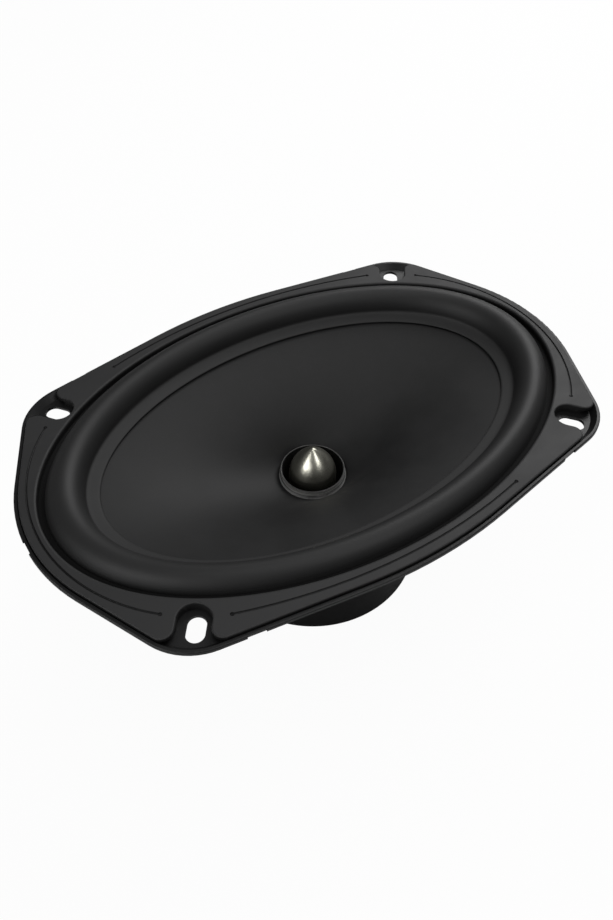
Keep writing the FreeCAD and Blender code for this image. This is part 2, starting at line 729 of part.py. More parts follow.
def magnet_cover():
    """A moulded boot round the magnet and the back plate, with a shallow ring groove behind."""
    low = yoke_top_z() - YOKE_THICKNESS - COVER_FLOOR
    high = BASKET_BOTTOM_Z - COVER_TOP_GAP
    body = disc(COVER_RADIUS, low, high)
    bottom_rim = [edge for edge in body.Edges if edge.BoundBox.ZMax < low + 0.01]
    body = body.makeFillet(COVER_EDGE_ROUND, bottom_rim)
    body = body.cut(disc(COVER_RADIUS - COVER_WALL, low + COVER_FLOOR, high + 1))
    groove_inner = COVER_GROOVE_RADIUS - COVER_GROOVE_WIDTH
    return body.cut(tube(COVER_GROOVE_RADIUS, groove_inner, low - 1, low + COVER_GROOVE_DEPTH))


# ---------------------------------------------------------------- terminals and leads


def on_spoke(shape):
    """Moves a shape drawn on the board's seat (y up the slope, z outwards) to its place."""
    upper = WALL_SECTIONS[2]
    lower = WALL_SECTIONS[-1]
    slope = math.atan2(upper[2] - lower[2], upper[1] - lower[1])
    uphill = point(0, math.cos(slope), math.sin(slope))
    outwards = point(0, math.sin(slope), -math.cos(slope))
    turn = FreeCAD.Rotation(point(-1, 0, 0), uphill, outwards, "XYZ")
    return shape.transformed(FreeCAD.Placement(point(*BOARD_SEAT), turn).toMatrix())


def board_rivets_at(radius, low, high):
    places = [(0, -BOARD_RIVET_SPACING / 2), (0, BOARD_RIVET_SPACING / 2)]
    return [Part.makeCylinder(radius, high - low, point(x, y, low)) for x, y in places]


def eyelets_at(radius, low, high):
    return [Part.makeCylinder(radius, high - low, point(x, 0, low)) for x in (-TERMINAL_X, TERMINAL_X)]


def terminal_board():
    """An insulating board riveted across the spoke."""
    corner = point(-BOARD_WIDTH / 2, -BOARD_HEIGHT / 2, 0)
    board = Part.makeBox(BOARD_WIDTH, BOARD_HEIGHT, BOARD_THICKNESS, corner)
    upright = [edge for edge in board.Edges if edge.BoundBox.ZLength > BOARD_THICKNESS / 2]
    board = board.makeFillet(BOARD_CORNER, upright)
    low = -1
    high = BOARD_THICKNESS + 1
    holes = board_rivets_at(BOARD_RIVET_RADIUS, low, high) + eyelets_at(EYELET_RADIUS, low, high)
    return on_spoke(board.cut(holes))


def board_rivets():
    """Two rivets through the board and the spoke behind it."""
    rivets = []
    head_top = BOARD_THICKNESS + BOARD_RIVET_HEAD
    shanks = board_rivets_at(BOARD_RIVET_RADIUS, -BOARD_RIVET_GRIP, BOARD_THICKNESS)
    heads = board_rivets_at(BOARD_RIVET_RADIUS + BOARD_RIVET_RIM, BOARD_THICKNESS, head_top)
    for shank, head in zip(shanks, heads):
        dome = head.makeFillet(BOARD_RIVET_ROUND, top_edges(head, head_top))
        rivets.append(on_spoke(shank.fuse(dome)))
    return Part.makeCompound(rivets)


def terminal(x, width):
    """A flat push-on tab on the board, with a tubular rivet and a solder lug behind it."""
    low = BOARD_THICKNESS
    high = low + TAB_THICKNESS
    tip_y = TAB_HEAD - TAB_LENGTH
    tab = Part.makeBox(width, TAB_LENGTH, TAB_THICKNESS, point(x - width / 2, tip_y, low))
    upright = [e for e in tab.Edges if e.BoundBox.ZLength > TAB_THICKNESS / 2]
    tab = tab.makeChamfer(TAB_POINT, [e for e in upright if e.BoundBox.YMax < 0])
    hole = Part.makeCylinder(TAB_HOLE_RADIUS, high + 1, point(x, tip_y + TAB_HOLE_FROM_POINT, 0))
    lug_corner = point(x - LUG_WIDTH / 2, -LUG_HEAD, -LUG_THICKNESS)
    lug = Part.makeBox(LUG_WIDTH, LUG_LENGTH, LUG_THICKNESS, lug_corner)
    rim_top = high + EYELET_RIM_HEIGHT
    barrel = Part.makeCylinder(EYELET_RADIUS, rim_top + LUG_THICKNESS, point(x, 0, -LUG_THICKNESS))
    rim = Part.makeCylinder(EYELET_RADIUS + EYELET_RIM, EYELET_RIM_HEIGHT, point(x, 0, high))
    bore = Part.makeCylinder(EYELET_RADIUS - EYELET_WALL, rim_top + 2, point(x, 0, -1))
    return on_spoke(tab.cut(hole).fuse([barrel, rim, lug]).cut(bore).removeSplitter())


def rounded_path(corners):
    """Straight runs joined by tangent arcs that use nearly half of the shorter run."""
    points = [point(*corner) for corner in corners]
    edges = []
    start = points[0]
    for before, corner, after in zip(points, points[1:], points[2:]):
        arriving = corner - before
        leaving = after - corner
        trim = LEAD_BEND_SHARE * min(arriving.Length, leaving.Length)
        arriving.normalize()
        leaving.normalize()
        half_turn = arriving.getAngle(leaving) / 2
        radius = trim / math.tan(half_turn)
        print("lead bend radius", round(radius, 1))
        first = corner - arriving * trim
        last = corner + leaving * trim
        inward = leaving - arriving
        inward.normalize()
        middle = corner + inward * (radius / math.cos(half_turn) - radius)
        edges.append(Part.makeLine(start, first))
        edges.append(Part.Arc(first, middle, last).toShape())
        start = last
    edges.append(Part.makeLine(start, points[-1]))
    return Part.Wire(edges)


def tinsel_lead(side):
    """A round braided lead; side is 1 for +X and -1 for -X."""
    path = rounded_path([(side * x, y, z) for x, y, z in LEAD_ROUTE])
    first = path.Edges[0]
    section = Part.Circle(first.Vertexes[0].Point, first.tangentAt(first.FirstParameter), LEAD_RADIUS)
    body = path.makePipeShell([Part.Wire([section.toShape()])], True, False)
    expected = math.pi * LEAD_RADIUS**2 * path.Length
    print("lead volume over section times length", round(body.Volume / expected, 4))
    return body


def build_all():
    return {
        "basket": basket(),
        "trim_ring": trim_ring(),
        "surround": surround(),
        "cone": cone(),
        "voice_coil_former": voice_coil_former(),
        "voice_coil_winding": voice_coil_winding(),
        "neck_glue_bead": neck_glue_bead(),
        "lead_solder_joints": solder_joints(),
        "spider": spider(),
        "spider_spacer_ring": spider_ring(),
        "basket_screws": basket_screws(),
        "top_plate": top_plate(),
        "ferrite_magnet": ferrite_magnet(),
        "pole_yoke": pole_yoke(),
        "phase_plug": phase_plug(),
        "plug_stud": plug_stud(),
        "magnet_cover": magnet_cover(),
        "terminal_board": terminal_board(),
        "terminal_board_rivets": board_rivets(),
        "terminal_positive": terminal(-TERMINAL_X, POSITIVE_TAB_WIDTH),
        "terminal_negative": terminal(TERMINAL_X, NEGATIVE_TAB_WIDTH),
        "tinsel_lead_positive": tinsel_lead(1),
        "tinsel_lead_negative": tinsel_lead(-1),
    }


os.makedirs("parts", exist_ok=True)
for node_name, node_shape in build_all().items():
    print(node_name, node_shape.isValid(), len(node_shape.Solids), round(node_shape.Volume))
    node_shape.exportStep("parts/" + node_name + ".step")
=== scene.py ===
"""Builds the looks of an oval car speaker round its CAD frame: the soft suspension, the cone, the
phase plug, the voice coil and the leads are modelled here, and every part gets its own finish."""

import math

import bmesh
import bpy
from bpy.props import FloatProperty, FloatVectorProperty, IntProperty, PointerProperty
from bpy.types import Operator, Panel, PropertyGroup
from mathutils import Matrix, Vector, noise
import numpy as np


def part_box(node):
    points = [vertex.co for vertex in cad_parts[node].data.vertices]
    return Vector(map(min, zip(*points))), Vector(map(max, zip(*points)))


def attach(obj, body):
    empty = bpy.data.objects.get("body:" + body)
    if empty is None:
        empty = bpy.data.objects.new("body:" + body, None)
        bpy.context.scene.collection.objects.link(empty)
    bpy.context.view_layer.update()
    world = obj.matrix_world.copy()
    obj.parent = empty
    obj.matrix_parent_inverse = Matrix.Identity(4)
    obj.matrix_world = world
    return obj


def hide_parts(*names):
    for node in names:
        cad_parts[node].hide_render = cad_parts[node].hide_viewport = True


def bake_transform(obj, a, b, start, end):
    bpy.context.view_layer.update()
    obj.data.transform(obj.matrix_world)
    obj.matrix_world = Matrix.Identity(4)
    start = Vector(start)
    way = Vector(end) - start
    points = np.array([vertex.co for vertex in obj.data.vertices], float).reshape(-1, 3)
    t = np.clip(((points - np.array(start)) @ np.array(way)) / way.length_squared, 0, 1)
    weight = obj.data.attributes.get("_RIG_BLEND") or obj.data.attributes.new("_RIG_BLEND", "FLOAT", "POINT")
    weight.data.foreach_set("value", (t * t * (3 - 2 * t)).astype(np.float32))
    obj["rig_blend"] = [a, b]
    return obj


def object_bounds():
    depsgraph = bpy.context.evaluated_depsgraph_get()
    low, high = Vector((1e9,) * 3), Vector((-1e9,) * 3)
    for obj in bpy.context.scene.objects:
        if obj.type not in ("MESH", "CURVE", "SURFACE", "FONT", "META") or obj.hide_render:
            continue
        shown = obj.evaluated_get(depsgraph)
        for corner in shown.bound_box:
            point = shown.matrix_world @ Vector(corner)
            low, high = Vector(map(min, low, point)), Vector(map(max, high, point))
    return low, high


bl_info = {
    "name": "Oval Car Speaker",
    "version": (1, 0, 0),
    "blender": (4, 5, 0),
    "location": "View3D > Sidebar > Speaker",
    "description": "Builds the soft parts of an oval car speaker and finishes all of its parts",
    "category": "Object",
}

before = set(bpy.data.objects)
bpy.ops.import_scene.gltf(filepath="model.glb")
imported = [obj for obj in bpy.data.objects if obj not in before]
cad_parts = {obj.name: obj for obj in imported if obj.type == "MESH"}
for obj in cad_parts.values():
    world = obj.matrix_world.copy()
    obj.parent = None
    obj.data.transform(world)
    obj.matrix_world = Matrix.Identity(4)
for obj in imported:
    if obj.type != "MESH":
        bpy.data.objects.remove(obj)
CAD_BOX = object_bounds()

CHASSIS = "chassis"
MOVING = "moving_cone"
MM = 0.001
UP = Vector((0, 0, 1))

# Corners of the CAD nodes that the new pieces and the finishes take their sizes from
RING_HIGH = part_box("trim_ring")[1]
SURROUND_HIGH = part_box("surround")[1]
CONE_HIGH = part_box("cone")[1]
FORMER_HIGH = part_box("voice_coil_former")[1]
COIL_LOW, COIL_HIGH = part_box("voice_coil_winding")
BEAD_LOW, BEAD_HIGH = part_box("neck_glue_bead")
SPIDER_LOW, SPIDER_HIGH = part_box("spider")
PLUG_LOW, PLUG_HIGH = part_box("phase_plug")

# Route of the +X lead from its terminal to the voice coil's former; the other is its mirror image
LEAD_ROUTE = (
    (0.0115, 0.0590, -0.0226),
    (0.0113, 0.0530, -0.0206),
    (0.0106, 0.0450, -0.0225),
    (0.0098, 0.0360, -0.0275),
    (0.0093, 0.0275, -0.0310),
    (0.0089, 0.0200, -0.0342),
    (0.0086, 0.0134, -0.0355),
)

# Steps of one turn round each piece
OVAL_STEPS = 256
ROUND_STEPS = 160
GLUE_STEPS = 128
COIL_STEPS = 112

# How straight the cone's wall is from neck to edge, along the oval and across it (1 is straight)
CONE_STRAIGHT_ALONG = 0.8
CONE_STRAIGHT_ACROSS = 0.45

# Distance between the yarns of the spider's cloth
YARN_GAP = 0.7 * MM

# Points of a mesh closer than this are one point
WELD = 0.002 * MM

# Each lamp's name, place and size in metres, watts, and whether only reflections show it
LAMPS = (
    ("back_softbox", (0.80, 0.42, 0.66), (0.75, 0.55), 6.4, False),
    ("left_softbox", (-0.80, -0.10, 0.50), (0.42, 0.55), 1.5, False),
    ("top_softbox", (0.10, -0.15, 1.05), (0.70, 0.70), 2.6, False),
    ("left_card", (-0.55, -0.20, 0.24), (0.50, 0.30), 1.1, True),
    ("right_card", (0.16, -0.54, 0.52), (0.30, 0.36), 1.1, True),
)
WORLD_LEVEL = 0.24
WORLD_SHEEN = 0.15
FLOOR_RADIUS = 4.0
FLOOR_WHITE_SHARE = 0.96

CAMERA_PLACE = (-0.1259, -0.1881, 0.2251)
CAMERA_AZIMUTH = math.radians(-33.131)
CAMERA_ELEVATION = math.radians(47.703)
CAMERA_ROLL = math.radians(-0.294)
CAMERA_LENS = 31.154
CAMERA_CLIP_START = 0.01


# ------------------------------------------------------------------ sizes and colours


def length(name, description, default):
    return FloatProperty(
        name=name, description=description, default=default, unit="LENGTH", precision=4
    )


def count(name, description, default):
    return IntProperty(name=name, description=description, default=default)


def colour(name, description, default):
    return FloatVectorProperty(
        name=name,
        description=description,
        default=default,
        subtype="COLOR",
        size=3,
        min=0.0,
        max=1.0,
    )


class SpeakerSizes(PropertyGroup):
    """Sizes of the pieces that are modelled here."""

    roll_outer_length: length(
        "Roll outer length", "Half length of the roll at its outer foot", 0.1089
    )
    roll_outer_width: length(
        "Roll outer width", "Half width of the roll at its outer foot", 0.0706
    )
    roll_inner_length: length(
        "Roll inner length", "Half length of the roll at its inner foot", 0.0940
    )
    roll_inner_width: length(
        "Roll inner width", "Half width of the roll at its inner foot", 0.0584
    )
    band_inner_length: length(
        "Band inner length", "Half length of the cone band's inner edge", 0.0890
    )
    band_inner_width: length(
        "Band inner width", "Half width of the cone band's inner edge", 0.0533
    )
    roll_foot: length("Roll foot", "Height of the roll's inner foot", -0.0005)
    band_inner_z: length(
        "Band inner edge", "Height of the cone band at its inner edge", -0.0023
    )
    surround_sheet: length("Surround sheet", "Thickness of the surround's rubber", 0.0006)
    surround_lip: length(
        "Surround lip", "Height of the top of the surround's outer lip", 0.0020
    )
    cone_sheet: length("Cone sheet", "Thickness of the cone", 0.0007)
    cone_edge_z: length(
        "Cone edge", "Height of the cone's front face at its full oval", -0.0022
    )
    cone_neck_z: length("Cone neck", "Height of the cone's front face at its neck", -0.0326)
    cone_neck_radius: length(
        "Cone neck radius", "Radius of the cone's front face at its neck", 0.0141
    )
    spider_sheet: length("Spider sheet", "Thickness of the spider's cloth", 0.0005)
    spider_lip: length("Spider lip", "Radius at which the spider's flat outer lip ends", 0.0430)
    spider_rolls: count("Spider rolls", "Number of waves in the spider", 5)
    coil_turns: count("Coil turns", "Turns in one layer of the voice coil", 32)
    plug_shoulder_z: length(
        "Plug shoulder", "Height at which the phase plug starts to taper", -0.0320
    )
    lead_radius: length("Lead radius", "Radius of a whole tinsel lead", 0.0007)
    lead_strands: count("Lead strands", "Strands twisted into one lead", 4)
    lead_pitch: length("Lead pitch", "Length of one twist of a lead", 0.0036)


class SpeakerColours(PropertyGroup):
    """Base colours of the finishes."""

    steel_paint: colour("Steel paint", "Satin black paint of the basket", (0.007, 0.007, 0.0073))
    ring: colour("Trim ring", "Moulded trim ring", (0.023, 0.023, 0.0235))
    surround: colour("Surround", "Rubber of the roll", (0.013, 0.013, 0.0132))
    band: colour("Cone band", "Rubber of the band glued to the cone", (0.021, 0.021, 0.0212))
    cone: colour("Cone", "Polymer of the cone", (0.0085, 0.0085, 0.0087))
    foil: colour("Former foil", "Dull foil of the voice coil's former", (0.50, 0.495, 0.48))
    copper: colour("Copper", "Enamelled copper wire", (0.55, 0.22, 0.09))
    glue: colour("Glue", "Dried glue round the former", (0.13, 0.13, 0.128))
    solder: colour("Solder", "Bright solder", (0.66, 0.66, 0.67))
    cloth: colour("Spider cloth", "Resin-treated cloth", (0.42, 0.27, 0.10))
    plastic: colour("Spacer ring", "Black plastic of the spacer ring", (0.022, 0.022, 0.022))
    zinc: colour("Zinc plate", "Bright zinc on screws and rivets", (0.60, 0.60, 0.57))
    plate: colour("Steel plate", "Plated plates of the motor", (0.46, 0.46, 0.45))
    ferrite: colour("Ferrite", "Ground magnet", (0.040, 0.040, 0.043))
    varnish: colour("Varnish", "Black varnish inside the former", (0.004, 0.004, 0.004))
    plug: colour("Phase plug", "Warm grey turned metal", (0.58, 0.57, 0.49))
    cover: colour("Magnet cover", "Rubber boot of the magnet", (0.0018, 0.0018, 0.002))
    board: colour("Terminal board", "Pressed laminate", (0.050, 0.030, 0.018))
    brass: colour("Terminals", "Tinned brass", (0.72, 0.67, 0.55))
    braid: colour("Tinsel", "Tinsel braid of the leads", (0.55, 0.36, 0.22))
    floor: colour("Floor", "Pale studio floor", (0.86, 0.86, 0.86))


def sizes():
    return bpy.context.scene.speaker_sizes


def colours():
    return bpy.context.scene.speaker_colours


# ------------------------------------------------------------------ shader recipes


class Signal:
    """A shader socket; arithmetic on it adds Math nodes."""

    def __init__(self, recipe, socket):
        self.recipe = recipe
        self.socket = socket

    def math(self, operation, *values):
        sockets = dict(enumerate(values))
        return self.recipe.node("ShaderNodeMath", {"operation": operation}, sockets)

    def __add__(self, other):
        return self.math("ADD", self, other)

    def __radd__(self, other):
        return self.math("ADD", other, self)

    def __sub__(self, other):
        return self.math("SUBTRACT", self, other)

    def __rsub__(self, other):
        return self.math("SUBTRACT", other, self)

    def __mul__(self, other):
        return self.math("MULTIPLY", self, other)

    def __rmul__(self, other):
        return self.math("MULTIPLY", other, self)

    def __truediv__(self, other):
        return self.math("DIVIDE", self, other)

    def __pow__(self, other):
        return self.math("POWER", self, other)


class Recipe:
    """One material: a Principled shader and the nodes that feed it."""

    def __init__(self, name, **plain):
        self.material = bpy.data.materials.new(name)
        self.material.use_nodes = True
        self.tree = self.material.node_tree
        self.tree.nodes.clear()
        self.shader = self.tree.nodes.new("ShaderNodeBsdfPrincipled")
        output = self.tree.nodes.new("ShaderNodeOutputMaterial")
        self.tree.links.new(self.shader.outputs[0], output.inputs[0])
        for socket, value in plain.items():
            self.shader.inputs[socket.replace("_", " ")].default_value = value

    def feed(self, socket, value):
        if isinstance(value, Signal):
            self.tree.links.new(value.socket, socket)
        else:
            socket.default_value = value

    def node(self, kind, settings, values, output=0):
        """Adds a node: its settings first, then the values or links of its sockets."""
        made = self.tree.nodes.new(kind)
        for name, setting in settings.items():
            setattr(made, name, setting)
        for name, value in values.items():
            self.feed(made.inputs[name], value)
        return Signal(self, made.outputs[output])

    def place(self, stretch=(1, 1, 1)):
        """The piece's own coordinates, stretched along its axes."""
        here = self.node("ShaderNodeTexCoord", {}, {}, "Object")
        if stretch == (1, 1, 1):
            return here
        return self.node("ShaderNodeMapping", {}, {"Vector": here, "Scale": stretch})

    def axes(self):
        """The three coordinates of the piece, in metres."""
        split = self.node("ShaderNodeSeparateXYZ", {}, {0: self.place()})
        return [Signal(self, output) for output in split.socket.node.outputs]

    def grain(self, scale, detail=2.0, stretch=(1, 1, 1), roughness=0.5):
        """Noise from 0 to 1 with the given number of grains to the metre."""
        values = {"Vector": self.place(stretch), "Scale": scale}
        values.update({"Detail": detail, "Roughness": roughness})
        return self.node("ShaderNodeTexNoise", {}, values)

    def tool_marks(self, along, scale, detail):
        """Noise from 0 to 1 that changes only with the given signal."""
        values = {"W": along, "Scale": scale, "Detail": detail}
        return self.node("ShaderNodeTexNoise", {"noise_dimensions": "1D"}, values)

    def span(self, signal, low, high, start=0.0, end=1.0):
        """Maps low..high to start..end, smoothly and within them."""
        values = {"Value": signal, "From Min": low, "From Max": high}
        values.update({"To Min": start, "To Max": end})
        return self.node("ShaderNodeMapRange", {"interpolation_type": "SMOOTHSTEP"}, values)

    def blend(self, share, first, second):
        """Mixes two colours."""
        values = {0: share, 6: as_colour(first), 7: as_colour(second)}
        return self.node("ShaderNodeMix", {"data_type": "RGBA"}, values, 2)

    def relief(self, height, depth, strength):
        """A bump of the given depth in metres."""
        values = {"Height": height, "Distance": depth, "Strength": strength}
        return self.node("ShaderNodeBump", {}, values)

    def finish(self, **links):
        """Joins signals to the shader's sockets and gives the material."""
        for socket, value in links.items():
            self.feed(self.shader.inputs[socket.replace("_", " ")], value)
        return self.material


def reach_of(x, y, half_length, half_width):
    """1 on the oval with these half axes, less inside it and more outside."""
    return ((x / half_length) ** 2 + (y / half_width) ** 2) ** 0.5


def as_colour(value):
    return value if isinstance(value, Signal) else (*value, 1.0)


def toned(tone, factor):
    """The same colour, lighter or darker."""
    return tuple(min(1.0, part * factor) for part in tone)


# ------------------------------------------------------------------ finishes


def steel_paint():
    """Satin black paint on pressed steel, with a faint orange peel."""
    tone = colours().steel_paint
    paint = Recipe("steel_paint", Specular_IOR_Level=0.32, Coat_Roughness=0.3)
    peel = paint.grain(900, 1.5)
    cloud = paint.grain(45, 3.0)
    specks = paint.span(paint.grain(2600, 1.0), 0.70, 0.76)
    body = paint.blend(cloud, toned(tone, 0.8), toned(tone, 1.25))
    body = paint.blend(specks * 0.35, body, toned(tone, 4.0))
    return paint.finish(
        Base_Color=body,
        Roughness=0.34 + cloud * 0.16,
        Normal=paint.relief(peel, 0.06 * MM, 0.5),
    )


def ring_rubber():
    """Fine matte grain of the moulded trim ring, with soft cloudy shine, and painted shade in its grooves
    and on its walls below the top face.
    """
    tone = colours().ring
    ring = Recipe("ring_rubber", Specular_IOR_Level=0.34)
    top = RING_HIGH.z
    # painted shade: share is 1 on the ring's top face and falls to 0.22 in the grooves and on the walls
    # below it
    groove_shade_mask = ring.span(ring.axes()[2], top - 0.5 * MM, top - 0.12 * MM, 0.22, 1.0)
    grain = ring.grain(3200, 2.0)
    cloud = ring.grain(28, 2.5)
    flow = ring.grain(60, 3.0, (1.0, 2.4, 1.0))
    body = ring.blend(cloud, toned(tone, 0.85), toned(tone, 1.15))
    body = ring.blend(ring.span(flow, 0.62, 0.80) * 0.4, body, toned(tone, 1.5))
    # painted shade: the grooves and walls below the top face are darkened towards near black
    body = ring.blend(groove_shade_mask, toned(tone, 0.05), body)
    return ring.finish(
        Base_Color=body,
        Roughness=0.50 + flow * 0.16,
        Normal=ring.relief(grain, 0.03 * MM, 0.6),
    )


def surround_rubber():
    """Soft satin rubber: a duller, lighter band on the cone, and painted shade on the lip under the trim
    ring.
    """
    own = sizes()
    rubber = Recipe("surround_rubber", Specular_IOR_Level=0.36)
    x, y, _ = rubber.axes()
    in_roll = reach_of(x, y, own.roll_inner_length, own.roll_inner_width)
    band = rubber.span(in_roll, 0.994, 1.001, 1.0, 0.0)
    in_opening = reach_of(x, y, own.roll_outer_length, own.roll_outer_width)
    # painted shade: the lip outside the roll's outer foot, where it runs under the trim ring
    lip_shade_mask = rubber.span(in_opening, 0.990, 0.997)
    cloud = rubber.grain(40, 3.0)
    grain = rubber.grain(4200, 1.0)
    tone = colours().surround
    roll = rubber.blend(cloud, toned(tone, 0.85), toned(tone, 1.2))
    body = rubber.blend(band, roll, colours().band)
    # painted shade: the lip by the trim ring is darkened towards near black
    body = rubber.blend(lip_shade_mask, body, toned(tone, 0.1))
    return rubber.finish(
        Base_Color=body,
        Roughness=0.50 + cloud * 0.08 + band * 0.12 + lip_shade_mask * 0.4,
        Normal=rubber.relief(grain, 0.02 * MM, 0.5),
    )


def cone_polymer():
    """Matte pressed polymer with faint blotches and a very fine tooth."""
    tone = colours().cone
    skin = Recipe("cone_polymer", Specular_IOR_Level=0.33)
    blotch = skin.grain(55, 4.0, roughness=0.6)
    tooth = skin.grain(2400, 2.0)
    fleck = skin.span(skin.grain(1300, 1.0), 0.70, 0.78)
    body = skin.blend(skin.span(blotch, 0.35, 0.68), toned(tone, 0.85), toned(tone, 1.25))
    body = skin.blend(fleck * 0.3, body, toned(tone, 3.0))
    return skin.finish(
        Base_Color=body,
        Roughness=0.52 + blotch * 0.14,
        Normal=skin.relief(tooth, 0.03 * MM, 0.6),
    )


def former_foil():
    """Dull grey foil with glue smears that run round it; black varnish inside and on the rim."""
    tone = colours().foil
    foil = Recipe("former_foil", Specular_IOR_Level=0.4)
    x, y, z = foil.axes()
    reach = (x * x + y * y) ** 0.5
    outside = foil.span(reach, FORMER_HIGH.x - 0.3 * MM, FORMER_HIGH.x - 0.05 * MM)
    rim = FORMER_HIGH.z
    below_rim = foil.span(z, rim - 0.35 * MM, rim - 0.1 * MM, 1.0, 0.3)
    streak = foil.grain(1.0, 3.0, (60, 60, 1900), 0.6)
    smear = foil.grain(1.0, 4.0, (160, 160, 520))
    mask = foil.span(streak, 0.42, 0.66)
    body = foil.blend(mask, toned(tone, 0.45), toned(tone, 1.3))
    body = foil.blend(foil.span(smear, 0.60, 0.72) * 0.5, body, toned(tone, 0.3))
    body = foil.blend(outside * below_rim, colours().varnish, body)
    return foil.finish(
        Base_Color=body,
        Metallic=outside * mask * 0.4,
        Roughness=0.62 - mask * 0.15,
        Normal=foil.relief(streak, 0.08 * MM, 0.5),
    )


def copper_wire():
    """Enamelled copper, darker where the varnish is thick."""
    tone = colours().copper
    wire = Recipe("copper_wire", Metallic=1.0, Coat_Weight=0.4, Coat_Roughness=0.15)
    varnish = wire.grain(1.0, 2.0, (120, 120, 700))
    return wire.finish(
        Base_Color=wire.blend(varnish, toned(tone, 0.6), toned(tone, 1.15)),
        Roughness=0.22 + varnish * 0.2,
    )


def grey_glue():
    """Dried grey glue, brushed round the former in uneven streaks."""
    tone = colours().glue
    glue = Recipe("grey_glue", Specular_IOR_Level=0.35)
    streak = glue.grain(1.0, 3.0, (90, 90, 1500), 0.65)
    lump = glue.grain(420, 2.0)
    body = glue.blend(glue.span(streak, 0.40, 0.64), toned(tone, 0.45), toned(tone, 1.35))
    return glue.finish(
        Base_Color=glue.blend(glue.span(lump, 0.60, 0.72) * 0.5, body, toned(tone, 0.3)),
        Roughness=0.50 + lump * 0.2,
        Normal=glue.relief(streak + lump * 0.6, 0.2 * MM, 0.5),
    )


def solder():
    """Bright solder, slightly frosted."""
    tone = colours().solder
    drop = Recipe("solder", Metallic=1.0)
    frost = drop.grain(1500, 2.0)
    return drop.finish(
        Base_Color=drop.blend(frost, toned(tone, 0.75), toned(tone, 1.1)),
        Roughness=0.18 + frost * 0.24,
        Normal=drop.relief(frost, 0.05 * MM, 0.4),
    )


def woven_cloth():
    """Resin-treated cotton in a square weave."""
    tone = colours().cloth
    cloth = Recipe("spider_cloth", Specular_IOR_Level=0.35, Sheen_Weight=0.25)
    yarns = math.pi / YARN_GAP
    x, y, _ = cloth.axes()
    warp = x.math("ABSOLUTE", x.math("SINE", x * yarns))
    weft = y.math("ABSOLUTE", y.math("SINE", y * yarns))
    checker = {"Vector": cloth.place(), "Scale": 1 / YARN_GAP}
    over = cloth.node("ShaderNodeTexChecker", {}, checker, 1)
    yarn = warp * over + weft * (1 - over)
    resin = cloth.grain(180, 3.0)
    fibre = cloth.grain(5200, 1.5)
    body = cloth.blend(yarn, toned(tone, 0.45), toned(tone, 1.2))
    body = cloth.blend(cloth.span(resin, 0.4, 0.7) * 0.45, body, toned(tone, 0.62))
    return cloth.finish(
        Base_Color=body,
        Roughness=0.80 - resin * 0.25,
        Normal=cloth.relief(yarn + fibre * 0.3, 0.22 * MM, 0.8),
    )


def black_plastic():
    """Moulded spacer ring with a fine spark-eroded grain."""
    tone = colours().plastic
    plastic = Recipe("black_plastic", Specular_IOR_Level=0.4)
    grain = plastic.grain(1800, 2.0)
    return plastic.finish(
        Base_Color=plastic.blend(grain, toned(tone, 0.8), toned(tone, 1.2)),
        Roughness=0.48 + grain * 0.14,
        Normal=plastic.relief(grain, 0.04 * MM, 0.5),
    )


def zinc_plate():
    """Bright zinc with a faint yellow and blue passivation."""
    tone = colours().zinc
    zinc = Recipe("zinc_plate", Metallic=1.0)
    tint = zinc.grain(260, 2.0)
    scuff = zinc.grain(1.0, 3.0, (2200, 240, 2200))
    warm = (tone[0] * 1.08, tone[1], tone[2] * 0.82)
    cool = (tone[0] * 0.92, tone[1] * 0.98, tone[2] * 1.12)
    return zinc.finish(
        Base_Color=zinc.blend(tint, warm, cool),
        Roughness=0.24 + scuff * 0.22,
        Normal=zinc.relief(scuff, 0.03 * MM, 0.4),
    )


def motor_plate():
    """Turned and plated plates of the motor: rings from the tool and a dull plate."""
    tone = colours().plate
    plate = Recipe("motor_plate", Metallic=1.0)
    x, y, z = plate.axes()
    reach = (x * x + y * y) ** 0.5
    ring = plate.tool_marks(reach + z, 5200, 2.0)
    cloud = plate.grain(70, 3.0)
    return plate.finish(
        Base_Color=plate.blend(cloud, toned(tone, 0.75), toned(tone, 1.1)),
        Roughness=0.34 + ring * 0.2,
        Normal=plate.relief(ring, 0.04 * MM, 0.5),
    )


def ground_ferrite():
    """Dark ceramic with grinding lines and small chips."""
    tone = colours().ferrite
    stone = Recipe("ground_ferrite", Specular_IOR_Level=0.5)
    lines = stone.grain(1.0, 3.0, (3000, 160, 160))
    chips = stone.span(stone.grain(500, 2.0), 0.66, 0.72)
    body = stone.blend(lines, toned(tone, 0.75), toned(tone, 1.3))
    body = stone.blend(chips * 0.6, body, toned(tone, 2.2))
    return stone.finish(
        Base_Color=body,
        Roughness=0.46 + chips * 0.3,
        Normal=stone.relief(lines, 0.05 * MM, 0.5),
    )


def turned_metal():
    """Warm grey metal with fine turning marks round it."""
    tone = colours().plug
    metal = Recipe("turned_metal", Metallic=1.0)
    height = metal.axes()[2]
    fine = metal.tool_marks(height, 9000, 3.0)
    coarse = metal.tool_marks(height, 1400, 1.0)
    haze = metal.grain(150, 3.0)
    body = metal.blend(fine, toned(tone, 0.82), toned(tone, 1.12))
    body = metal.blend(haze * 0.35, body, toned(tone, 0.8))
    return metal.finish(
        Base_Color=body,
        Roughness=0.20 + fine * 0.12 + haze * 0.06,
        Normal=metal.relief(fine + coarse * 0.5, 0.02 * MM, 0.5),
    )


def cover_rubber():
    """Smooth near-black boot with a faint bloom."""
    tone = colours().cover
    boot = Recipe("cover_rubber", Specular_IOR_Level=0.16)
    bloom = boot.grain(60, 3.0)
    grain = boot.grain(2800, 1.5)
    return boot.finish(
        Base_Color=boot.blend(bloom, toned(tone, 0.8), toned(tone, 1.5)),
        Roughness=0.38 + bloom * 0.14,
        Normal=boot.relief(grain, 0.03 * MM, 0.5),
    )


